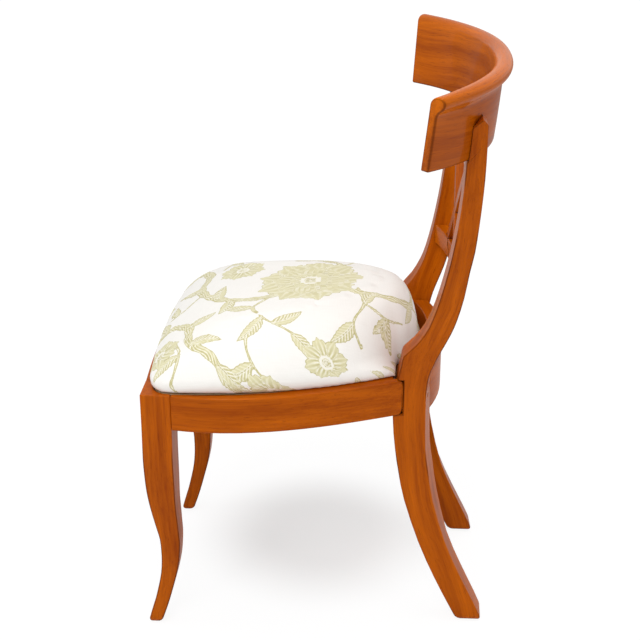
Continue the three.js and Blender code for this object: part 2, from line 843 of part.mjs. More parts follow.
function buildBlocks() {
  let front = frontBlock();
  let rear = rearBlock();
  for (const index of [0, 1]) {
    const level = index === 0 ? "_lower" : "_upper";
    const [frontFrom, frontTo] = frontScrewPlace(index);
    const [rearFrom, rearTo] = rearScrewPlace(index);
    front = front.subtract(screw(frontFrom, frontTo, jointGap));
    rear = rear.subtract(screw(rearFrom, rearTo, jointGap));
    addPair("front_block_screw" + level, screw(frontFrom, frontTo, 0), steel());
    addPair("rear_block_screw" + level, screw(rearFrom, rearTo, 0), steel());
  }
  addPair("front_corner_block", front, inner());
  addPair("rear_corner_block", rear, inner());
}

// The cushion's plan above its waist: round corners and no step at the posts
function crownOutline(setIn) {
  const wide = seatFrontHalf - setIn;
  const front = seatFrontY + setIn;
  const back = crownRearY - setIn;
  const side = crownSideHalf - setIn;
  const turn = crownTurnHalf - setIn;
  const turnY = crownTurnY - setIn;
  const half = new THREE.Path();
  half.moveTo(0, front);
  half.quadraticCurveTo(wide * 0.35, front, wide - crownCorner, front + seatFrontBow * 2);
  half.quadraticCurveTo(wide, front + seatFrontBow * 3, wide, front + crownCorner * 1.2);
  half.quadraticCurveTo(wide + seatSideBulge, seatBulgeY, side, crownSideY);
  half.quadraticCurveTo(turn + crownTurn, turnY - crownTurn, turn + jointGap * 4, turnY - jointGap * 4);
  half.lineTo(turn, turnY);
  half.quadraticCurveTo(turn - crownTurn, turnY + crownTurn, turn * 0.6, back - crownRearBow);
  half.quadraticCurveTo(turn / 3, back, 0, back);
  return mirroredOutline(half, front, back);
}

// Shares of the crown's plan at its sections, from the waist to the middle
const crownSpreadShares = [1, 0.99, 0.97, 0.935, 0.89, 0.83, 0.75, 0.64, 0.48, 0.28, 0.09];

// The cushion's form: its lower sides draw in, its waist is full and its top is crowned; less a skin
function cushionForm(skin, bottom) {
  const plain = seatOutline(skin);
  const full = crownOutline(skin);
  const ring = (points, z) => points.map((p) => place(p.x, p.y, z));
  const blend = (share, setIn) => {
    const near = setIn === 0 ? plain : seatOutline(setIn + skin);
    return near.map((p, i) => flatPlace(mix(p.x, full[i].x, share), mix(p.y, full[i].y, share)));
  };
  const waist = coverRim + coverDrawHeight;
  const sections = [];
  if (bottom < coverRim) sections.push(ring(seatOutline(coverDrawIn + skin), bottom));
  sections.push(ring(seatOutline(coverDrawIn + skin), Math.max(bottom, coverRim)));
  sections.push(ring(blend(0.2, coverDrawIn * 0.3), mix(coverRim, waist, 0.45)));
  crownSpreadShares.forEach((spread, i) => {
    const outline = i === 0 ? blend(0.6, 0) : full;
    const up = (1 - spread ** crownFullnessShare) ** crownEdgeShare;
    const level = mix(waist, coverRim + coverRise - skin, up);
    const tilt = crownTiltShare * (1 - spread ** 4);
    const point = (p) => flatPlace(p.x * spread, mix(crownMiddleY, p.y, spread));
    sections.push(outline.map(point).map((p) => place(p.x, p.y, level + tilt * (p.y - crownTiltY))));
  });
  return loft(sections, plain);
}

function buildSeat() {
  const dustBottom = ledgeTop + jointGap;
  const frameBottom = dustBottom + dustThickness + jointGap;
  const frameTop = frameBottom + frameThickness;
  const ring = slab(seatOutline(frameInset), frameBottom, frameTop).subtract(
    slab(seatOutline(frameInset + frameWidth), frameBottom - cutOverrun, frameTop + cutOverrun),
  );
  const frontEdge = seatFrontY + seatFrontBow + frameInset + frameWidth;
  const rearEdge = seatRearY - seatRearBow - frameInset - frameWidth;
  const wide = seatFrontHalf + cutOverrun;
  const low = frameBottom - cutOverrun;
  const high = frameTop + cutOverrun;
  const frontCut = box(-wide, wide, seatFrontY - cutOverrun, frontEdge, low, high);
  const rearCut = box(-wide, wide, rearEdge, seatRearY + cutOverrun, low, high);
  const sideCut = box(0, wide, frontEdge + jointGap, rearEdge - jointGap, low, high);
  add("seat_frame_front", ring.intersect(frontCut), inner());
  add("seat_frame_rear", ring.intersect(rearCut), inner());
  addPair("seat_frame_side", ring.intersect(sideCut), inner());

  const webArea = (z) => slab(seatOutline(frameInset + webInset), z, z + webThickness);
  const crossZ = frameTop + jointGap;
  const longZ = crossZ + webThickness + jointGap;
  const middleY = mix(seatFrontY, seatRearY, 0.45);
  ["front", "middle", "rear"].forEach((name, i) => {
    const y = middleY + (i - 1) * webPitchAcross;
    const cut = box(-wide, wide, y - webWidth / 2, y + webWidth / 2, low, high);
    add("webbing_across_" + name, webArea(crossZ).intersect(cut), jute());
  });
  ["right", "centre", "left"].forEach((name, i) => {
    const x = (i - 1) * webPitchAlong * 0.75;
    const cut = box(x - webWidth / 2, x + webWidth / 2, -cutOverrun * 10, cutOverrun * 10, low, high);
    add("webbing_along_" + name, webArea(longZ).intersect(cut), jute());
  });

  const foamBottom = longZ + webThickness + jointGap;
  const pad = cushionForm(coverThickness + jointGap, foamBottom);
  const hollow = cushionForm(coverThickness, coverRim - cutOverrun);
  add("foam_pad", pad, foam());
  add("seat_cover", cushionForm(0, coverRim).subtract(hollow), linen());

  add("dust_cover", slab(seatOutline(frameInset + dustInset), dustBottom, dustBottom + dustThickness), black());
}

buildLegs();
buildPosts();
buildRails();
buildBack();
buildBlocks();
buildSeat();

// The origin goes on the floor, under the middle of the chair's box
const whole = new THREE.Box3().setFromObject(group);
const middle = whole.getCenter(new THREE.Vector3());
for (const mesh of group.children) mesh.geometry.translate(-middle.x, -middle.y, -whole.min.z);

export default group;
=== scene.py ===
import math

import bmesh
import bpy
import numpy as np
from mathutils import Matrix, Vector
from mathutils.kdtree import KDTree


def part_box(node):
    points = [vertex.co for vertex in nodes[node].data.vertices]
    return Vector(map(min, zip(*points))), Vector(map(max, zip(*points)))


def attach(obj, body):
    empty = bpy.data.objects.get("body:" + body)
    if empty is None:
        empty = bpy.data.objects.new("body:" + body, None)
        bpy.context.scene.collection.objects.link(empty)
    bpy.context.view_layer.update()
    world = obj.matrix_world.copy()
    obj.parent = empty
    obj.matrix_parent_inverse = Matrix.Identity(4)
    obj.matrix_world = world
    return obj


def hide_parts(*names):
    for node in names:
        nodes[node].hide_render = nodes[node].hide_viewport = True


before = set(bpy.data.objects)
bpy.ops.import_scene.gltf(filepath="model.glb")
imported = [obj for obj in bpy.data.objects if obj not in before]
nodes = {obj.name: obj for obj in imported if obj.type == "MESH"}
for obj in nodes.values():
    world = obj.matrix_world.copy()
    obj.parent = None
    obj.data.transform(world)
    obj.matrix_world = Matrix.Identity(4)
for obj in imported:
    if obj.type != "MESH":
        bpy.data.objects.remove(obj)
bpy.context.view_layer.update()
scene = bpy.context.scene
scene.view_settings.view_transform = "Standard"

# The forms below are drawn with the seat's front at this y, and the frame holds them moved along y
seat_front = -0.250
shift_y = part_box("seat_cover")[0].y - seat_front


def placed(name, data):
    obj = bpy.data.objects.new(name, data)
    scene.collection.objects.link(obj)
    return obj


# Camera, from points matched between the photo and the part

yaw, pitch = math.radians(2.98), math.radians(22.67)
ahead = Vector((-math.cos(yaw) * math.cos(pitch), -math.sin(yaw) * math.cos(pitch), -math.sin(pitch)))
camera = placed("Camera", bpy.data.cameras.new("Camera"))
camera.data.sensor_width = 36
camera.data.lens = 67.5
camera.location = (1.735, 0.0873 + shift_y, 1.1767)
camera.rotation_euler = ahead.to_track_quat("-Z", "Y").to_euler()
scene.camera = camera


# Materials


class Sheet:
    """A material's node tree, with short calls for the nodes used here."""

    def __init__(self, name):
        self.material = bpy.data.materials.new(name)
        self.material.use_nodes = True
        self.tree = self.material.node_tree
        self.shader = self.tree.nodes["Principled BSDF"]

    def set(self, **values):
        for name, value in values.items():
            self.shader.inputs[name.replace("_", " ")].default_value = value

    def node(self, kind, **settings):
        made = self.tree.nodes.new(kind)
        for name, value in settings.items():
            setattr(made, name, value)
        return made

    def plug(self, socket, value):
        if isinstance(value, bpy.types.NodeSocket):
            self.tree.links.new(value, socket)
        else:
            socket.default_value = value

    def math(self, operation, a, b=0.0, c=0.0):
        made = self.node("ShaderNodeMath", operation=operation)
        for socket, value in zip(made.inputs, (a, b, c)):
            self.plug(socket, value)
        return made.outputs[0]

    def place(self):
        return self.node("ShaderNodeTexCoord").outputs["Object"]

    def attribute(self, name, vector=False):
        made = self.node("ShaderNodeAttribute", attribute_name=name, attribute_type="GEOMETRY")
        return made.outputs["Vector" if vector else "Fac"]

    def stretched(self, vector, scale, shift=(0.0, 0.0, 0.0)):
        made = self.node("ShaderNodeMapping")
        self.plug(made.inputs["Vector"], vector)
        made.inputs["Scale"].default_value = scale
        made.inputs["Location"].default_value = shift
        return made.outputs[0]

    def noise(self, vector, scale=1.0, detail=3.0, rough=0.5):
        made = self.node("ShaderNodeTexNoise")
        self.plug(made.inputs["Vector"], vector)
        for name, value in (("Scale", scale), ("Detail", detail), ("Roughness", rough)):
            made.inputs[name].default_value = value
        return made.outputs["Fac"]

    def ramp(self, value, low, high, out_low=0.0, out_high=1.0, smooth=True):
        made = self.node("ShaderNodeMapRange", interpolation_type="SMOOTHSTEP" if smooth else "LINEAR")
        self.plug(made.inputs["Value"], value)
        for name, number in (("From Min", low), ("From Max", high), ("To Min", out_low), ("To Max", out_high)):
            made.inputs[name].default_value = number
        return made.outputs["Result"]

    def mix(self, share, a, b):
        made = self.node("ShaderNodeMix", data_type="RGBA")
        self.plug(made.inputs[0], share)
        for socket, value in ((made.inputs[6], a), (made.inputs[7], b)):
            self.plug(socket, value if isinstance(value, bpy.types.NodeSocket) else (*value, 1.0))
        return made.outputs[2]

    def bump(self, height, strength, distance):
        made = self.node("ShaderNodeBump")
        made.inputs["Strength"].default_value = strength
        made.inputs["Distance"].default_value = distance
        self.plug(made.inputs["Height"], height)
        self.plug(self.shader.inputs["Normal"], made.outputs[0])

    def colour(self, value):
        self.plug(self.shader.inputs["Base Color"], value)

    def rough(self, value):
        self.plug(self.shader.inputs["Roughness"], value)


def lacquered_cherry():
    """Grain along the stored grain places, lighter or darker by each piece's tone and by painted light, darker in
    pores, and with painted shade on edges that face away from the light.
    """
    deep, bright = (0.2, 0.026, 0.0004), (0.59, 0.13, 0.0014)
    # The second colour here is the dark brown of the painted shade.
    pore_colour, painted_shade_colour = (0.11, 0.014, 0.0004), (0.085, 0.015, 0.0008)
    s = Sheet("lacquered_cherry")
    grain = s.attribute("grain", vector=True)
    bend = s.noise(s.stretched(grain, (5.0, 16.0, 16.0)), 1.0, 2.0)
    wavy = s.node("ShaderNodeVectorMath", operation="MULTIPLY_ADD")
    s.plug(wavy.inputs[0], bend)
    wavy.inputs[1].default_value = (0.0, 0.009, 0.009)
    s.plug(wavy.inputs[2], grain)
    wavy = wavy.outputs[0]
    figure = s.noise(s.stretched(wavy, (2.4, 60.0, 60.0)), 1.0, 4.0, 0.55)
    streaks = s.noise(s.stretched(wavy, (9.0, 330.0, 330.0)), 1.0, 3.0, 0.6)
    pores = s.noise(s.stretched(wavy, (38.0, 1500.0, 1500.0)), 1.0, 1.0)
    blotch = s.noise(s.stretched(grain, (5.0, 9.0, 9.0), (3.1, 1.7, 0.4)), 1.0, 2.0)
    tone = s.math("MULTIPLY_ADD", s.ramp(figure, 0.3, 0.7), 0.36, s.math("MULTIPLY", streaks, 0.6))
    tone = s.math("ADD", tone, s.math("MULTIPLY", s.ramp(blotch, 0.3, 0.7), 0.14))
    tone = s.math("ADD", tone, s.attribute("tone_and_painted_light"))
    colour = s.mix(s.ramp(tone, 0.1, 1.05, smooth=False), deep, bright)
    colour = s.mix(s.ramp(pores, 0.6, 0.76, 0.0, 0.55), colour, pore_colour)
    # Painted shade: the colour darkens towards dark brown on edges, ends and soles that face down or sideways.
    s.colour(s.mix(s.math("MULTIPLY", s.attribute("painted_shade"), 0.7), colour, painted_shade_colour))
    s.rough(s.ramp(streaks, 0.3, 0.7, 0.34, 0.44))
    s.set(Specular_IOR_Level=0.02, Coat_Weight=0.3, Coat_Roughness=0.09, Coat_IOR=1.25)
    s.bump(s.math("ADD", s.math("MULTIPLY", streaks, 0.5), pores), 0.05, 0.0006)
    return s.material


def bare_beech():
    s = Sheet("bare_beech")
    place = s.place()
    flecks = s.noise(s.stretched(place, (260.0, 260.0, 700.0)), 1.0, 2.0)
    rings = s.noise(s.stretched(place, (22.0, 22.0, 130.0)), 1.0, 3.0, 0.6)
    saw = s.noise(s.stretched(place, (900.0, 60.0, 60.0)), 1.0, 1.0)
    colour = s.mix(s.ramp(rings, 0.32, 0.68), (0.44, 0.28, 0.145), (0.64, 0.46, 0.27))
    s.colour(s.mix(s.ramp(flecks, 0.6, 0.72, 0.0, 0.5), colour, (0.3, 0.17, 0.08)))
    s.rough(s.ramp(rings, 0.3, 0.7, 0.6, 0.75))
    s.bump(s.math("ADD", saw, flecks), 0.12, 0.0004)
    return s.material


def zinc():
    s = Sheet("bright_zinc")
    spots = s.noise(s.place(), 900.0, 3.0)
    s.colour(s.mix(spots, (0.5, 0.5, 0.48), (0.72, 0.72, 0.69)))
    s.rough(s.ramp(spots, 0.3, 0.7, 0.26, 0.44))
    s.set(Metallic=1.0)
    s.bump(spots, 0.08, 0.0002)
    return s.material


def woven(name, warp_colour, weft_colour, pitch, depth, rough):
    """Plain weave over the object's own x and y."""
    s = Sheet(name)
    place = s.place()
    parts = s.node("ShaderNodeSeparateXYZ")
    s.plug(parts.inputs[0], place)
    turn = 2 * math.pi / pitch
    across = s.math("SINE", s.math("MULTIPLY", parts.outputs[0], turn))
    along = s.math("SINE", s.math("MULTIPLY", parts.outputs[1], turn))
    over = s.math("MULTIPLY", across, along)
    fuzz = s.noise(place, 500.0, 3.0)
    colour = s.mix(s.ramp(over, -0.6, 0.6), warp_colour, weft_colour)
    s.colour(s.mix(s.ramp(fuzz, 0.35, 0.75, 0.0, 0.35), colour, tuple(0.6 * c for c in warp_colour)))
    s.rough(rough)
    s.bump(s.math("ADD", over, fuzz), 0.6, depth)
    return s.material


def printed_linen():
    """Linen whose print is drawn from the distances, hatch phases and tones stored by the Print."""
    thread = 0.00075
    printed_line, reserve, slub_colour = (0.49, 0.44, 0.19), (0.875, 0.855, 0.77), (0.6, 0.57, 0.5)
    s = Sheet("printed_linen")
    place = s.attribute("cloth", vector=True)
    parts = s.node("ShaderNodeSeparateXYZ")
    s.plug(parts.inputs[0], place)
    edge, line, phase, tone = (s.attribute("print_" + name) for name in ("edge", "line", "phase", "tone"))

    shaky = s.noise(place, 420.0, 2.0)
    edge = s.math("MULTIPLY_ADD", s.math("SUBTRACT", shaky, 0.5), 0.0011, edge)
    inside = s.ramp(edge, 0.0003, -0.0003)
    outline = s.ramp(edge, -0.0014, -0.0005)
    rib = s.ramp(line, 0.0011, 0.0005)
    broken = s.noise(place, 130.0, 2.0)
    wave = s.math("SINE", s.math("MULTIPLY", phase, 2 * math.pi))
    cut = s.math("MULTIPLY_ADD", s.math("SUBTRACT", broken, 0.5), 1.6, wave)
    hatch = s.math("MULTIPLY", s.ramp(cut, 0.0, 0.55), tone)
    bare = s.math("MULTIPLY", s.ramp(cut, -0.35, -0.9), s.ramp(tone, 0.1, 0.9, 0.35, 0.95))
    halo = s.math("MULTIPLY", s.ramp(line, 0.0022, 0.0012), s.ramp(line, 0.0006, 0.0011))
    bare = s.math("MAXIMUM", s.math("MAXIMUM", bare, s.math("MULTIPLY", halo, 0.8)), s.ramp(tone, -0.2, -0.6))
    bare = s.math("MULTIPLY", bare, s.ramp(edge, -0.0009, -0.0016))
    ink = s.math("MAXIMUM", s.math("MAXIMUM", outline, rib), hatch)
    ink = s.math("MULTIPLY", ink, s.ramp(shaky, 0.25, 0.5, 0.6, 1.0))
    ground = s.mix(s.noise(place, 9.0, 2.0), (0.875, 0.855, 0.815), (0.9, 0.885, 0.85))
    pale = s.mix(s.noise(place, 60.0, 2.0), (0.76, 0.725, 0.48), (0.67, 0.63, 0.37))
    printed = s.mix(bare, s.mix(ink, pale, printed_line), reserve)
    cloth = s.mix(inside, ground, printed)

    warp = s.math("SINE", s.math("MULTIPLY", parts.outputs[0], 2 * math.pi / thread))
    weft = s.math("SINE", s.math("MULTIPLY", parts.outputs[1], 2 * math.pi / thread))
    weave = s.math("MULTIPLY", warp, weft)
    slub = s.noise(s.stretched(place, (40.0, 1200.0, 1.0)), 1.0, 2.0)
    slub = s.math("ADD", slub, s.noise(s.stretched(place, (1200.0, 40.0, 1.0)), 1.0, 2.0))
    s.colour(s.mix(s.ramp(slub, 0.75, 1.25, 0.0, 0.1), cloth, slub_colour))
    s.rough(s.ramp(slub, 0.8, 1.2, 0.78, 0.9))
    s.set(Sheen_Weight=0.12, Specular_IOR_Level=0.25)
    s.bump(s.math("MULTIPLY_ADD", weave, 0.5, slub), 0.22, 0.0003)
    return s.material


cherry = lacquered_cherry()
beech = bare_beech()
steel = zinc()
jute = woven("jute_webbing", (0.36, 0.25, 0.12), (0.52, 0.38, 0.2), 0.0036, 0.0008, 0.92)
black = woven("dust_cloth", (0.012, 0.012, 0.014), (0.03, 0.03, 0.034), 0.0016, 0.0003, 0.95)
foam = woven("seat_foam", (0.72, 0.64, 0.42), (0.78, 0.7, 0.48), 0.004, 0.0006, 0.95)
linen = printed_linen()


# Meshes: reading, storing and building


def store(mesh, name, values):
    vector = values.ndim == 2
    layer = mesh.attributes.new(name, "FLOAT_VECTOR" if vector else "FLOAT", "POINT")
    layer.data.foreach_set("vector" if vector else "value", values.astype(np.float32).ravel())


def read(mesh, what):
    values = np.zeros(len(mesh.vertices) * 3, np.float32)
    mesh.vertices.foreach_get(what, values)
    return values.reshape(-1, 3).astype(float)


def move_points(mesh, points):
    mesh.vertices.foreach_set("co", points.astype(np.float32).ravel())


def settled(obj):
    """The object with its modifiers applied."""
    graph = bpy.context.evaluated_depsgraph_get()
    mesh = bpy.data.meshes.new_from_object(obj.evaluated_get(graph))
    obj.modifiers.clear()
    obj.data = mesh
    return obj


def ring_faces(count, size):
    """The faces between neighbouring rings of points."""
    faces = []
    for row in range(count - 1):
        for i in range(size):
            a, b = row * size + i, row * size + (i + 1) % size
            faces.append((a, b, b + size, a + size))
    return faces


def skin(name, points, faces):
    """An object from points and faces, its normals turned outward."""
    mesh = bpy.data.meshes.new(name)
    mesh.from_pydata([tuple(p) for p in points], [], faces)
    work = bmesh.new()
    work.from_mesh(mesh)
    bmesh.ops.recalc_face_normals(work, faces=work.faces)
    work.to_mesh(mesh)
    work.free()
    return placed(name, mesh)


# Wooden pieces: copies of the solids with eased edges and grain that follows each piece

flat_angle = math.radians(0.02)
corner_angle = math.radians(32)
sharp_angle = math.radians(35)
sole_round, sole_draw, sole_most = 0.0115, 0.0125, 0.85
broad_face = 2e-5


def binned(values, keys, count=24):
    """A smooth centre line: the middle of values in slices along keys."""
    marks = np.linspace(keys.min(), keys.max(), count)
    half = (marks[1] - marks[0]) * 0.8
    middles = []
    for mark in marks:
        near = values[np.abs(keys - mark) <= half]
        middles.append((near.min() + near.max()) / 2 if len(near) else np.nan)
    middles = np.array(middles)
    known = ~np.isnan(middles)
    return marks, np.interp(marks, marks[known], middles[known])


def grain_of(points, axis, follow):
    """Along the piece by the length of its centre line, then the two ways across it."""
    keys = points[:, axis]
    across = []
    slope = 0.0
    for other in (i for i in range(3) if i != axis):
        marks, middles = binned(points[:, other], keys)
        across.append(points[:, other] - follow * np.interp(keys, marks, middles))
        slope = slope + np.gradient(middles, marks) ** 2
    length = np.concatenate([[0.0], np.cumsum(np.diff(marks) * np.sqrt(1 + slope[1:]))])
    return np.stack([np.interp(keys, marks, length), *across], axis=1)


def turn_under(work):
    """Slices a foot thinly at its sole and draws the slices in, so that the sole curves under."""
    turns = np.radians(np.linspace(0, 90, 7))
    heights, shares = sole_round * (1 - np.cos(turns)), 1 - np.sin(turns)
    for height in heights[1:]:
        geometry = [*work.verts, *work.edges, *work.faces]
        bmesh.ops.bisect_plane(work, geom=geometry, plane_co=(0, 0, height), plane_no=(0, 0, 1), dist=1e-6)
    for height, share in zip(heights, shares):
        level = [v for v in work.verts if abs(v.co.z - height) < 1e-5]
        for axis in (0, 1):
            low, high = min(v.co[axis] for v in level), max(v.co[axis] for v in level)
            middle, half = (low + high) / 2, (high - low) / 2
            drawn = share * min(sole_most, sole_draw / half)
            for v in level:
                v.co[axis] = middle + (v.co[axis] - middle) * (1 - drawn)


def facing_down(mesh):
    """1 where a point faces down or sideways, fading to 0 where it faces up; it scales the painted shade."""
    return np.clip(1 - 1.6 * read(mesh, "normal")[:, 2], 0, 1)


def shaded_edge_share(mesh):
    """Where shade is painted on the wood: 1 on the eased edges that don't face up, 0 on the broad faces round them."""
    share = np.ones(len(mesh.vertices))
    for face in mesh.polygons:
        if face.area > broad_face:
            share[list(face.vertices)] = 0
    return share * facing_down(mesh)


def eased(node, width):
    """A copy of a node's solid whose sharp outer edges are rounded over."""
    work = bmesh.new()
    work.from_mesh(nodes[node].data)
    bmesh.ops.remove_doubles(work, verts=work.verts, dist=2e-6)
    bmesh.ops.dissolve_limit(work, angle_limit=flat_angle, verts=work.verts, edges=work.edges)
    if node.startswith(("front_leg", "rear_post")):
        turn_under(work)
    weight = work.edges.layers.float.new("bevel_weight_edge")
    for edge in work.edges:
        if len(edge.link_faces) == 2 and edge.calc_face_angle_signed() > corner_angle:
            edge[weight] = 1.0
    mesh = bpy.data.meshes.new(node + "_finish")
    work.to_mesh(mesh)
    work.free()
    mesh.shade_smooth()
    obj = placed(node + "_finish", mesh)
    bevel = obj.modifiers.new("ease", "BEVEL")
    bevel.limit_method = "WEIGHT"
    bevel.width = width
    bevel.segments = 4
    bevel.use_clamp_overlap = False
    bevel.miter_outer = "MITER_ARC"
    bevel.harden_normals = False
    settled(obj).data.set_sharp_from_angle(angle=sharp_angle)
    level = obj.modifiers.new("level", "WEIGHTED_NORMAL")
    level.weight = 60
    level.keep_sharp = True
    return settled(obj)


def lacquer(obj, node, grain, tone_and_painted_light, seed, painted_shade):
    """Stands the object in for a node of the frame, in cherry from its own part of the grain."""
    grain = grain + (1.7 * seed, 0.31 * seed, 0.0)
    store(obj.data, "grain", grain)
    store(obj.data, "tone_and_painted_light", np.full(len(grain), tone_and_painted_light))
    store(obj.data, "painted_shade", painted_shade)
    obj.data.materials.clear()
    obj.data.materials.append(cherry)
    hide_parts(node)
    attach(obj, "frame")


def dress(node, axis, follow, width, tone_and_painted_light, seed):
    obj = eased(node, width)
    points = read(obj.data, "co")
    # Painted shade on the lowest five millimetres of a foot, where its sole curves under towards the floor.
    sole = 1.3 * np.clip((0.005 - points[:, 2]) / 0.003, 0, 1)
    lacquer(obj, node, grain_of(points, axis, follow), tone_and_painted_light, seed, np.maximum(shaded_edge_share(obj.data), sole))


# The crest: the solid's own plan curves, each as its measure below and its gain up to the top

crest_foot, crest_tall, crest_drop, crest_flare = 0.770, 0.106, 0.0015, 1.16
crest_plan = {"half": (0.274, 0.050), "sagitta": (0.094, 0.007), "power": (3.2, -1.0), "back": (0.230, 0.0152)}
crest_arm = 0.36
edge_ease, end_ease = 0.003, 0.0032
# The last value here lightens the crest's bead: painted light for the light falling on its top.
bead_radius, bead_down, bead_painted_light = 0.0105, 0.026, 0.34


def arc(middle, radius, start, end, count):
    turn = np.radians(np.linspace(start, end, count))
    return [(middle[0] + radius * math.cos(t), middle[1] - radius * math.sin(t)) for t in turn]


def crest_section():
    """Across and down from the top: outer face, cove, bead, rounded top, inner face and eased lower edges."""
    t = np.linspace(0, 1, 10)[1:-1, None]
    cove = [np.array(p) for p in ((0.0127, 0.034), (0.0123, 0.0268), (0.0134, 0.0222), (0.01675, 0.0196))]
    cove = cove[0] * (1 - t) ** 3 + cove[1] * 3 * t * (1 - t) ** 2 + cove[2] * 3 * t**2 * (1 - t) + cove[3] * t**3
    low = crest_tall - edge_ease
    path = arc((0.014 - edge_ease, low), edge_ease, -90, 0, 6)
    path += [(0.0137, 0.08), (0.0132, 0.055), (0.0127, 0.034)]
    path += [tuple(p) for p in cove]
    path += arc((0.0115, bead_radius), bead_radius, -60, 90, 22)
    path += arc((bead_radius, bead_radius), bead_radius, 92, 180, 12)
    path += [(0.0, 0.035), (0.0, 0.06), (0.0, 0.085)]
    path += arc((edge_ease, low), edge_ease, 180, 270, 6)[:-1]
    return np.array(path)


def crest_places(across, section):
    """The section set up at a share of half the crest."""
    up = 1 - section[:, 1] / crest_tall
    far = abs(across)
    half, sagitta, power, back = (low + gain * up for low, gain in crest_plan.values())
    steep = power * sagitta * far ** (power - 1) / half
    size = np.hypot(steep, 1)
    reach = section[:, 0] * (crest_flare + (1 - crest_flare) * far**2)
    side = 1 if across >= 0 else -1
    x = half * across + side * steep / size * reach
    y = back - sagitta * far**power + reach / size + shift_y
    z = crest_foot + (crest_tall - crest_drop * far**4) * up
    return np.column_stack([x, y, z])


def crest():
    section = crest_section()
    size = len(section)
    edge = np.roll(section, -1, axis=0) - np.roll(section, 1, axis=0)
    inward = np.column_stack([-edge[:, 1], edge[:, 0]]) / np.hypot(edge[:, 0], edge[:, 1])[:, None]
    inward = inward * np.sign((section.mean(0) - section[3]) @ inward[3])

    # Stations along it, the section drawn in over the last few to ease the ends
    turns = np.radians(np.linspace(0, 90, 7))
    eased_end = [(1 - end_ease * (1 - math.cos(t)) / crest_arm, end_ease * (1 - math.sin(t))) for t in turns]
    inner = np.linspace(eased_end[-1][0], 0, 60)[1:]
    half_way = eased_end + [(share, 0.0) for share in inner]
    stations = half_way + [(-share, inset) for share, inset in half_way[::-1][1:]]
    rings = np.array([crest_places(share, section + inward * inset) for share, inset in stations])
    count = len(rings)

    ends = [tuple(range(size)), tuple(range(count * size - 1, (count - 1) * size - 1, -1))]
    obj = skin("crest_rail_finish", rings.reshape(-1, 3), ring_faces(count, size) + ends)
    mesh = obj.data
    mesh.shade_smooth()
    for face in list(mesh.polygons)[-2:]:
        face.use_smooth = False

    bead_path = rings[:, 30]
    along = np.concatenate([[0.0], np.cumsum(np.linalg.norm(np.diff(bead_path, axis=0), axis=1))])
    along = np.repeat(along - along.mean(), size)
    out = np.tile(section[:, 0], count)
    down = np.tile(section[:, 1], count)
    swirl = 0.006 * np.sin(along * 13.0 + 0.6) + 0.002 * np.sin(along * 29.0 + down * 20.0)
    # Painted light: the bead is drawn lighter above its lower side.
    tone_and_painted_light = bead_painted_light * np.clip((bead_down - down) / 0.006, 0, 1)
    # Painted shade on the crest's eased ends and along its lower edge, only where they face down or sideways.
    end_shade = np.array([math.sin(math.pi * min(i, count - 1 - i, 6) / 6) for i in range(count)])
    painted_shade = np.maximum(np.repeat(end_shade, size), np.clip((down - 0.1025) / 0.002, 0, 1))
    grain = np.column_stack([along, out, down + swirl])
    lacquer(obj, "crest_rail", grain, tone_and_painted_light, 8.0, painted_shade * facing_down(mesh))


crest()

# Each piece's long axis, how far its grain follows its curve, its edges' round and its tone, which for the stay is
# raised as painted light

X, Y, Z = 0, 1, 2
wooden = [
    ("front_leg_left", Z, 0.75, 0.0021, 0.02),
    ("front_leg_right", Z, 0.75, 0.0021, -0.03),
    ("rear_post_left", Z, 0.8, 0.0021, 0.03),
    ("rear_post_right", Z, 0.8, 0.0021, -0.02),
    ("side_rail_left", Y, 0.7, 0.0022, -0.01),
    ("side_rail_right", Y, 0.7, 0.0022, 0.02),
    ("front_rail", X, 0.5, 0.002, 0.0),
    ("rear_rail", X, 0.5, 0.002, 0.02),
    # The stay is drawn lighter all over: painted light for the light and reflection on its front.
    ("stay_rail", X, 0.6, 0.0017, 0.2),
    ("splat_bar_front", Z, 1.0, 0.0015, 0.02),
    ("splat_bar_rear", Z, 1.0, 0.0015, -0.02),
    ("post_pin_left", Y, 0.0, 0.0004, -0.3),
    ("post_pin_right", Y, 0.0, 0.0004, -0.3),
]
for number, (node, axis, follow, width, tone_and_painted_light) in enumerate(wooden):
    dress(node, axis, follow, width, tone_and_painted_light, float(number))

# Pieces that keep their solids, by a part of their names

plain = {
    "corner_block": beech,
    "crest_dowel": beech,
    "seat_frame": beech,
    "block_screw": steel,
    "webbing": jute,
    "foam_pad": foam,
    "dust_cover": black,
}
for name, obj in nodes.items():
    for part, material in plain.items():
        if part in name:
            if not obj.material_slots:
                obj.data.materials.append(material)
            for place in obj.material_slots:
                place.material = material


# The cushion's form: drawn-in lower sides, a full waist and a crowned top

cushion_low, cushion_rise, draw_in, draw_height = 0.4158, 0.0955, 0.006, 0.018
seat_wide, waist_share = 0.207, 0.6
crown_y, crown_slope, crown_level_y = 0.080, 0.075, -0.040
outline_steps = [18, 24, 60, 10, 5, 10, 20]


def curve(points, count):
    """A line or a quadratic curve from its first to its last point, without the first."""
    t = np.linspace(0, 1, count + 1)[1:, None]
    p = [np.array(q, float) for q in points]
    if len(p) == 2:
        return p[0] * (1 - t) + p[1] * t
    return p[0] * (1 - t) ** 2 + p[1] * 2 * t * (1 - t) + p[2] * t**2


def closed(start, pieces):
    """One half of an outline, from the middle of its front to the middle of its back, and its mirror."""
    side, at = [], start
    for piece, count in zip(pieces, outline_steps):
        side.append(curve([at, *piece], count))
        at = piece[-1]
    side = np.concatenate(side)
    first, last = np.array([[start[0], start[1]]]), side[-1:]
    side = side[:-1]
    return np.concatenate([first, side, last, side[::-1] * (-1, 1)])


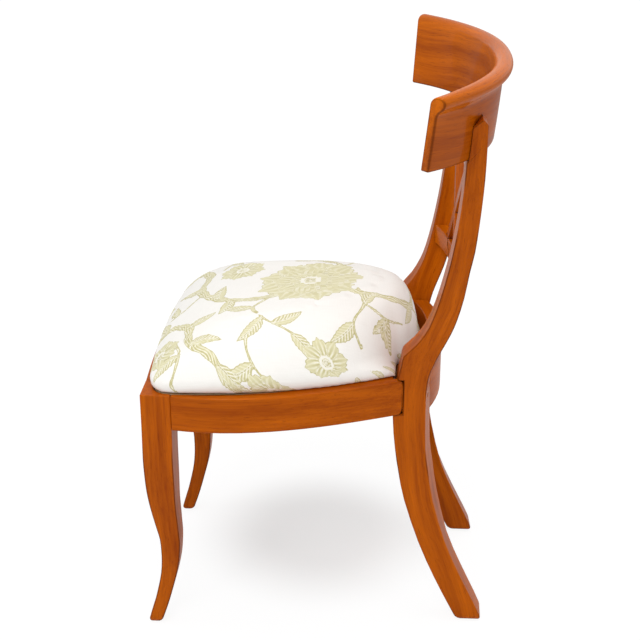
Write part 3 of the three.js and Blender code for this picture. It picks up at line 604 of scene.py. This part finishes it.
def seat_outline(inset):
    front, corner, rear, back_middle = seat_front + inset, -0.245 + inset, 0.142 - inset, 0.159 - inset
    wide, narrow, back = seat_wide - inset, 0.128 - 0.4 * inset, 0.092 - inset
    return closed(
        (0, front),
        [
            [(wide / 2, front), (wide - 0.036, corner)],
            [(wide, corner + 0.0025), (wide, corner + 0.036)],
            [(wide + 0.004, -0.030), (narrow, 0.1175)],
            [(back, 0.1175)],
            [(back - 0.00225, rear - 0.020)],
            [(back - 0.0045, rear), (back - 0.020, rear)],
            [(back / 2, back_middle), (0, back_middle)],
        ],
    )


def crown_outline():
    wide, front, back, side, turn, turn_y = seat_wide, seat_front, 0.152, 0.148, 0.093, 0.119
    return closed(
        (0, front),
        [
            [(wide * 0.35, front), (wide - 0.046, front + 0.010)],
            [(wide, front + 0.015), (wide, front + 0.0552)],
            [(wide + 0.005, -0.030), (side, 0.062)],
            [(turn + 0.024, turn_y - 0.014), (turn + 0.0012, turn_y - 0.0012)],
            [(turn, turn_y)],
            [(turn - 0.017, turn_y + 0.017), (turn * 0.6, back - 0.012)],
            [(turn / 3, back), (0, back)],
        ],
    )


def cushion_rings():
    """Rings of points up the sides, then in over the top to one point at the crown."""
    full = crown_outline()
    rings = []
    for up in np.linspace(0, 1, 9)[:-1]:
        share = waist_share * up**1.6
        inset = draw_in * (1 - up) ** 1.5
        flat = seat_outline(inset) * (1 - share) + full * share
        rings.append(np.column_stack([flat, np.full(len(flat), cushion_low + draw_height * up)]))
    waist = cushion_low + draw_height
    for spread in np.cos(np.linspace(0, math.pi / 2, 64)) ** 0.9:
        settle = min(1.0, waist_share + (1 - spread) * 30)
        flat = seat_outline(0) * (1 - settle) + full * settle
        lift = (1 - spread**4.6) ** 0.79 if spread < 1 else 0.0
        level = waist + (cushion_low + cushion_rise - waist) * lift
        x, y = flat[:, 0] * spread, crown_y + (flat[:, 1] - crown_y) * spread
        z = level + crown_slope * (1 - spread**4) * (y - crown_level_y)
        rings.append(np.column_stack([x, y, z]))
    rings = np.array(rings)
    rings[:, :, 1] += shift_y
    return rings


def cushion_skin(rings):
    """Skin over the rings, closed by one middle point above and a flat face below."""
    count, size = rings.shape[:2]
    points = [*rings[:-1].reshape(-1, 3), rings[-1].mean(0)]
    last = (count - 2) * size
    faces = ring_faces(count - 1, size)
    faces += [(last + i, last + (i + 1) % size, len(points) - 1) for i in range(size)]
    faces.append(tuple(range(size - 1, -1, -1)))
    return skin("seat_cushion", points, faces)


def flat_places(rings):
    """Each ring point's place on the cloth as it would lie flat, measured out from the crown."""
    outward_steps = np.linalg.norm(np.diff(rings[::-1], axis=0), axis=2)
    reach = np.concatenate([np.zeros((1, rings.shape[1])), np.cumsum(outward_steps, axis=0)])[::-1]
    crown = rings[-1].mean(0)[:2]
    away = rings[:, :, :2] - crown
    length = np.linalg.norm(away, axis=2)

    # Close to the crown a point's own bearing is unsure, so that of a ring further out is used
    bearing = rings[20, :, :2] - crown
    bearing = bearing / np.linalg.norm(bearing, axis=1)[:, None]
    way = np.where(length[..., None] > 0.02, away / np.maximum(length, 1e-9)[..., None], bearing[None])
    return way * reach[..., None] + crown


# The print: branches, leaves and flowers as distances on the flat cloth

no_line = 0.05


def spline(points, count=14):
    p = np.array(points, float)
    p = np.vstack([2 * p[0] - p[1], p, 2 * p[-1] - p[-2]])
    t = np.linspace(0, 1, count, endpoint=False)[:, None]
    out = []
    for a, b, c, d in zip(p, p[1:], p[2:], p[3:]):
        out.append(0.5 * (2 * b + (c - a) * t + (2 * a - 5 * b + 4 * c - d) * t**2 + (3 * b - a - 3 * c + d) * t**3))
    return np.vstack([*out, p[-2:-1]])


def side_way(way):
    return np.array([-way[1], way[0]])


class Print:
    """For each point of the cloth: the distance past the print's edge and to its inner lines, with the
    hatching's phase and tone."""

    def __init__(self, cloth):
        self.cloth = cloth
        self.edge = np.full(len(cloth), no_line)
        self.line = np.full(len(cloth), no_line)
        self.phase = np.zeros(len(cloth))
        self.tone = np.zeros(len(cloth))

    def lay(self, distance, line, phase, tone):
        """A shape in front of those already laid."""
        inside = distance < 0
        near = np.abs(distance) < 0.0004
        self.line = np.where(inside, line, np.where(near, no_line, self.line))
        self.phase = np.where(inside, phase, self.phase)
        self.tone = np.where(inside, tone, self.tone)
        over = inside & (self.edge < 0)
        self.line = np.where(over, np.minimum(self.line, np.abs(distance)), self.line)
        self.edge = np.minimum(self.edge, distance)

    def branch(self, points, start, end):
        """A stem along a spline, from one radius to another."""
        path = spline(points)
        reach = np.concatenate([[0.0], np.cumsum(np.linalg.norm(np.diff(path, axis=0), axis=1))])
        best = np.full(len(self.cloth), 1.0)
        along = np.zeros(len(self.cloth))
        side = np.zeros(len(self.cloth))
        for a, b, s in zip(path, path[1:], reach):
            size = np.linalg.norm(b - a)
            way = (b - a) / size
            off = self.cloth - a
            t = np.clip(off @ way, 0, size)
            gap = off - t[:, None] * way
            radius = start + (end - start) * (s + t) / reach[-1]
            distance = np.linalg.norm(gap, axis=1) - radius
            closer = distance < best
            best = np.where(closer, distance, best)
            along = np.where(closer, s + t, along)
            side = np.where(closer, gap @ side_way(way), side)
        knots = 0.0011 * np.sin(along * 210.0) + 0.0008 * np.sin(along * 83.0 + 1.0)
        best = best + knots * (start + end) / 0.018
        phase = side / 0.0042 + 0.55 * np.sin(along * 170.0) + along / 0.02
        self.lay(best, np.full(len(best), no_line), phase, np.where(side < 0.15 * start, 0.85, 0.4))

    def leaf(self, at, turn, length, half, bend, teeth=0.05):
        """A bent leaf from its stalk, with a rib and hatching off the rib."""
        turn = math.radians(turn)
        way = np.array([math.cos(turn), math.sin(turn)])
        off = self.cloth - np.array(at)
        p = off @ way / length
        q = off @ side_way(way) - bend * length * p * (1 - p) * 1.6
        inside = np.clip(p, 0, 1)
        width = half * np.sin(math.pi * inside**0.72) ** 0.9 * (1 + teeth * np.sin(inside * 44.0))
        beyond = np.maximum(np.maximum(-p, p - 1), 0) * length
        distance = np.hypot(np.maximum(np.abs(q) - width, 0), beyond)
        distance = np.where((np.abs(q) < width) & (beyond == 0), (np.abs(q) - width) * 0.85, distance)
        phase = (p * length - 1.1 * np.abs(q)) / 0.006
        self.lay(distance, np.abs(q), phase, np.where(q > 0, 0.75, 0.2))

    def petal(self, at, turn, length, half, lines):
        """A petal from the flower's middle, with a frilled tip and hatching along it."""
        way = np.array([math.cos(turn), math.sin(turn)])
        off = self.cloth - np.array(at)
        q = off @ side_way(way)
        p = off @ way / (length * (1 + 0.05 * np.cos(q / half * 8.0)))
        inside = np.clip(p, 0, 1)
        width = half * np.maximum(np.sin(math.pi * (0.06 + 0.94 * inside) ** 1.6), 0) ** 0.62
        beyond = np.maximum(np.maximum(-p, p - 1), 0) * length
        distance = np.hypot(np.maximum(np.abs(q) - width, 0), beyond)
        depth = np.maximum(np.abs(q) - width, (np.abs(p - 0.5) - 0.5) * length)
        distance = np.where((np.abs(q) < width) & (beyond == 0), depth * 0.85, distance)
        phase = lines * q / (width + 0.002) + 0.25
        self.lay(distance, np.full(len(q), no_line), phase, np.clip(1.25 - 1.4 * p, 0.15, 0.95))

    def disc(self, at, radius, tone):
        off = self.cloth - np.array(at)
        far = np.hypot(off[:, 0], off[:, 1])
        phase = np.arctan2(off[:, 1], off[:, 0]) * 9 / (2 * math.pi)
        self.lay(far - radius, np.abs(far - radius * 0.45), phase, np.full(len(far), tone))

    def flower(self, at, radius, petals, turn, rows=1):
        """Rings of petals from the outside in, round a pale ring and a small eye."""
        for row in range(rows):
            size = radius * (1 - 0.3 * row)
            count = petals - row
            half = size * math.pi / count * (0.8 if rows == 1 else 0.95)
            order = range(count) if rows == 1 else [*range(0, count, 2), *range(1, count, 2)]
            for share in order:
                self.petal(at, turn + row * 0.45 + 2 * math.pi * share / count, size, half, 2.0 + 0.5 * row)
        heart = radius * (0.3 if rows == 1 else 0.2)
        self.disc(at, heart, -1.0)
        self.disc(at, heart * 0.62, 0.5)


twigs = (
    [(0.05, -0.075), (0.09, -0.1), (0.12, -0.085), (0.15, -0.045), (0.175, -0.01)],
    [(0.12, -0.085), (0.16, -0.105), (0.2, -0.1), (0.235, -0.075)],
    [(0.04, 0.055), (0.085, 0.065), (0.125, 0.05), (0.16, 0.06)],
    [(0.085, 0.065), (0.1, 0.1), (0.09, 0.135)],
    [(-0.06, 0.03), (-0.1, 0.05), (-0.125, 0.09), (-0.17, 0.11)],
    [(-0.1, 0.05), (-0.15, 0.04), (-0.2, 0.055), (-0.25, 0.04)],
    [(-0.115, -0.17), (-0.165, -0.155), (-0.2, -0.175), (-0.235, -0.165)],
    [(0.145, -0.215), (0.18, -0.205), (0.215, -0.22), (0.24, -0.255)],
    [(-0.01, -0.2), (0.02, -0.235), (0.015, -0.285), (-0.02, -0.32)],
    [(-0.165, -0.155), (-0.18, -0.11), (-0.165, -0.075)],
    [(0.03, 0.16), (0.0, 0.19), (-0.04, 0.2)],
    [(0.085, -0.295), (0.115, -0.31), (0.155, -0.3)],
)

# Points, then the radius at the start and at the end
branches = (
    (
        [(-0.25, -0.32), (-0.2, -0.245), (-0.115, -0.195), (-0.04, -0.2), (0.03, -0.16), (0.055, -0.1), (0.035, -0.04)],
        0.0105,
        0.0058,
    ),
    (
        [(0.06, -0.37), (0.085, -0.295), (0.07, -0.24), (0.105, -0.2), (0.16, -0.19), (0.2, -0.15), (0.27, -0.14)],
        0.0098,
        0.0052,
    ),
    (
        [(-0.29, -0.03), (-0.22, -0.01), (-0.165, 0.015), (-0.12, -0.005), (-0.085, 0.02), (-0.03, 0.03)],
        0.0085,
        0.005,
    ),
    (
        [(-0.06, 0.27), (-0.05, 0.2), (-0.01, 0.15), (0.035, 0.15), (0.06, 0.1), (0.045, 0.04)],
        0.008,
        0.0048,
    ),
)

# Place, turn in degrees, length and half width
leaves = (
    (0.12, -0.085, -35, 0.06, 0.0105), (0.135, -0.07, 120, 0.052, 0.0105), (0.155, -0.04, 35, 0.05, 0.0095),
    (0.2, -0.1, -70, 0.05, 0.0095), (0.09, -0.1, -110, 0.05, 0.0105), (0.125, 0.05, -45, 0.052, 0.0105),
    (0.1, 0.1, 20, 0.056, 0.0105), (0.085, 0.065, 150, 0.04, 0.009), (-0.1, 0.05, 75, 0.055, 0.0105),
    (-0.125, 0.09, 150, 0.052, 0.0105), (-0.15, 0.04, -75, 0.05, 0.0105), (-0.2, 0.055, 110, 0.05, 0.0095),
    (-0.17, 0.015, 100, 0.04, 0.0095), (-0.22, -0.01, -100, 0.052, 0.0105), (-0.12, -0.005, -70, 0.05, 0.0105),
    (-0.2, -0.175, -110, 0.05, 0.0105), (-0.165, -0.155, 20, 0.05, 0.0105), (-0.18, -0.11, 170, 0.05, 0.0095),
    (-0.04, -0.2, -120, 0.056, 0.011), (0.03, -0.16, 175, 0.056, 0.011), (0.045, -0.14, -15, 0.05, 0.0105),
    (0.015, -0.285, 15, 0.05, 0.0095), (0.02, -0.235, -170, 0.05, 0.0095), (0.105, -0.2, 120, 0.05, 0.0105),
    (0.16, -0.19, 85, 0.05, 0.0105), (0.18, -0.205, -60, 0.056, 0.0105), (0.2, -0.15, 30, 0.05, 0.0095),
    (0.07, -0.25, -160, 0.055, 0.0105), (0.115, -0.31, 60, 0.05, 0.0095), (0.085, -0.29, 165, 0.055, 0.0105),
    (0.0, 0.19, 60, 0.05, 0.0095), (-0.05, 0.19, 165, 0.055, 0.0105), (0.035, 0.15, -10, 0.05, 0.0095),
    (0.0, 0.15, 190, 0.05, 0.0095), (-0.24, -0.3, -30, 0.055, 0.0105), (-0.16, -0.22, -95, 0.055, 0.0105),
    (0.165, 0.118, 62, 0.085, 0.0085), (0.19, 0.1, 50, 0.08, 0.0085), (0.142, 0.135, 78, 0.08, 0.0085),
    (0.215, 0.075, 38, 0.075, 0.008), (0.118, 0.15, 92, 0.07, 0.0085), (0.235, 0.045, 20, 0.065, 0.008),
    (-0.16, 0.17, 110, 0.07, 0.0085), (-0.2, 0.13, 135, 0.07, 0.0085), (-0.12, 0.18, 85, 0.065, 0.0085),
    (-0.27, -0.11, 160, 0.055, 0.0095), (0.27, -0.02, -20, 0.055, 0.0095), (0.29, -0.19, -30, 0.05, 0.0095),
)
long_leaf = 0.06

# Place, radius, petals, turn in radians and rows
flowers = (
    (-0.005, -0.02, 0.082, 9, 0.2, 3),
    (0.19, 0.005, 0.033, 8, 0.3, 1),
    (0.15, -0.245, 0.036, 7, 0.1, 1),
    (-0.085, -0.135, 0.038, 8, 0.5, 1),
    (-0.175, 0.095, 0.034, 7, 0.2, 1),
    (-0.045, -0.29, 0.036, 8, 0.7, 1),
    (0.24, -0.095, 0.03, 6, 0.5, 1),
    (-0.24, -0.19, 0.034, 7, 0.3, 1),
    (0.01, 0.215, 0.032, 7, 0.6, 1),
    (-0.225, 0.0, 0.028, 6, 0.1, 1),
)


def draw_print(cloth):
    p = Print(cloth)
    for twig in twigs:
        p.branch(twig, 0.0024, 0.0015)
    for points, start, end in branches:
        p.branch(points, start, end)
    for x, y, turn, length, half in leaves:
        bend = 0.2 if turn % 20 else -0.2
        p.leaf((x, y), turn, length, half, bend, 0.0 if length > long_leaf else 0.05)
    for x, y, radius, petals, turn, rows in flowers:
        p.flower((x, y), radius, petals, turn, rows)
    p.leaf((0.1, 0.1), -35, 0.04, 0.008, 0.2)
    return p


# The cushion

swell_frames = 20
slack = 0.0025
most_in, most_out = -0.0003, 0.003


def swell(obj):
    """Draws the cover in a little and blows it up as cloth held at its lower edge.

    Only what this moves along the start's normals is kept, within narrow limits."""
    start, outward = read(obj.data, "co"), read(obj.data, "normal")
    free = np.clip((start[:, 2] - cushion_low - 0.003) / 0.012, 0, 1)
    move_points(obj.data, start - outward * (free * slack)[:, None])
    held = obj.vertex_groups.new(name="held")
    for i, share in enumerate(1 - free):
        if share > 0:
            held.add([i], share, "REPLACE")
    cloth = obj.modifiers.new("cloth", "CLOTH")
    settings = cloth.settings
    settings.quality = 6
    settings.mass = 0.25
    settings.tension_stiffness = settings.compression_stiffness = 25
    settings.shear_stiffness = 12
    settings.bending_stiffness = 2
    settings.vertex_group_mass = "held"
    settings.use_pressure = True
    settings.uniform_pressure_force = 9
    settings.effector_weights.gravity = 0
    cloth.collision_settings.use_collision = False
    cloth.point_cache.frame_start, cloth.point_cache.frame_end = 1, swell_frames
    for number in range(1, swell_frames + 1):
        scene.frame_set(number)
    settled(obj)
    push = ((read(obj.data, "co") - start) * outward).sum(1)
    move_points(obj.data, start + outward * (np.clip(push, most_in, most_out) * free)[:, None])
    obj.vertex_groups.clear()
    scene.frame_set(1)


def cloth_of(points, rings):
    """Each point's place on the flat cloth, from the ring points nearest to it."""
    places = flat_places(rings).reshape(-1, 2)
    near = KDTree(len(places))
    for i, p in enumerate(rings.reshape(-1, 3)):
        near.insert(p, i)
    near.balance()
    cloth = np.zeros((len(points), 2))
    for i, point in enumerate(points):
        found = near.find_n(point, 4)
        shares = np.array([1 / (d + 1e-5) ** 2 for _, _, d in found])
        cloth[i] = shares @ places[[j for _, j, _ in found]] / shares.sum()
    return cloth


def cushion():
    rings = cushion_rings()
    obj = cushion_skin(rings)
    even = obj.modifiers.new("even", "REMESH")
    even.mode = "VOXEL"
    even.voxel_size = 0.0042
    smooth = obj.modifiers.new("smooth", "SMOOTH")
    smooth.factor = 0.5
    smooth.iterations = 3
    swell(settled(obj))
    finer = obj.modifiers.new("more", "SUBSURF")
    finer.levels = finer.render_levels = 1
    mesh = settled(obj).data
    cloth = cloth_of(read(mesh, "co"), rings)
    drawn = draw_print(cloth)
    store(mesh, "cloth", np.column_stack([cloth, np.zeros(len(cloth))]))
    for name in ("edge", "line", "phase", "tone"):
        store(mesh, "print_" + name, getattr(drawn, name))
    mesh.materials.clear()
    mesh.materials.append(linen)
    mesh.shade_smooth()
    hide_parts("seat_cover")
    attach(obj, "seat")


cushion()


# Floor: white to the camera away from the chair, with a soft shadow round a middle under the seat

floor_half, floor_sink = 20, 0.0003
shadow_middle = (-0.1, -0.01)
floor_white = 1.05

floor_mesh = bpy.data.meshes.new("floor")
corners = [(x * floor_half, y * floor_half, 0) for x, y in ((-1, -1), (1, -1), (1, 1), (-1, 1))]
floor_mesh.from_pydata(corners, [], [(0, 1, 2, 3)])
floor = placed("floor", floor_mesh)
floor.location.z = -floor_sink
ground = Sheet("floor")
ground.set(Base_Color=(0.93, 0.93, 0.93, 1.0), Roughness=1.0, Specular_IOR_Level=0.0)
span = ground.node("ShaderNodeVectorMath", operation="LENGTH")
from_middle = (-shadow_middle[0], -shadow_middle[1], 0.0)
ground.plug(span.inputs[0], ground.stretched(ground.place(), (1.0, 1.0, 1.0), from_middle))
near = ground.ramp(span.outputs["Value"], 0.08, 0.25, 0.4, 0.85)
far = ground.ramp(span.outputs["Value"], 0.3, 0.6, 0.0, 0.15)
camera_ray = ground.node("ShaderNodeLightPath").outputs["Is Camera Ray"]
white = ground.node("ShaderNodeEmission")
white.inputs["Strength"].default_value = floor_white
blend = ground.node("ShaderNodeMixShader")
ground.plug(blend.inputs[0], ground.math("MULTIPLY", ground.math("ADD", near, far), camera_ray))
ground.plug(blend.inputs[1], ground.shader.outputs[0])
ground.plug(blend.inputs[2], white.outputs[0])
ground.plug(ground.tree.nodes["Material Output"].inputs[0], blend.outputs[0])
floor_mesh.materials.append(ground.material)


# World: white to the camera and in reflections, and a dimmer white for the light it gives

seen_white, given_white = 1.0, 0.42

world = bpy.data.worlds.new("World")
scene.world = world
world.use_nodes = True
tree = world.node_tree
tree.nodes.clear()


def larger(a, b):
    made = tree.nodes.new("ShaderNodeMath")
    made.operation = "MAXIMUM"
    tree.links.new(a, made.inputs[0])
    tree.links.new(b, made.inputs[1])
    return made.outputs[0]


def plain_white(strength):
    made = tree.nodes.new("ShaderNodeBackground")
    made.inputs["Color"].default_value = (1.0, 1.0, 1.0, 1.0)
    made.inputs["Strength"].default_value = strength
    return made.outputs[0]


paths = tree.nodes.new("ShaderNodeLightPath")
through = larger(paths.outputs["Is Glossy Ray"], paths.outputs["Is Transmission Ray"])
either = tree.nodes.new("ShaderNodeMixShader")
tree.links.new(larger(paths.outputs["Is Camera Ray"], through), either.inputs[0])
tree.links.new(plain_white(given_white), either.inputs[1])
tree.links.new(plain_white(seen_white), either.inputs[2])
out = tree.nodes.new("ShaderNodeOutputWorld")
tree.links.new(either.outputs[0], out.inputs["Surface"])


# Lamps

lamp_aim = (0.0, 0.0, 0.4)


def softbox(name, at, size, share):
    """A square lamp that gives its share of a plain level at the chair."""
    data = bpy.data.lights.new(name, "AREA")
    data.shape = "SQUARE"
    data.size = size
    way = Vector(lamp_aim) - Vector(at)
    data.energy = share * math.pi**2 * way.length**2
    obj = placed(name, data)
    obj.location = at
    obj.rotation_euler = way.to_track_quat("-Z", "Y").to_euler()


softbox("key", (2.0, -0.6, 2.3), 1.7, 0.4)
softbox("spark", (1.9, -0.2, 2.5), 0.5, 0.08)
softbox("top", (-0.3, 0.2, 3.0), 2.6, 0.43)
softbox("left", (0.5, -2.7, 1.3), 1.8, 0.13)
softbox("right", (0.9, 2.6, 1.2), 1.8, 0.16)
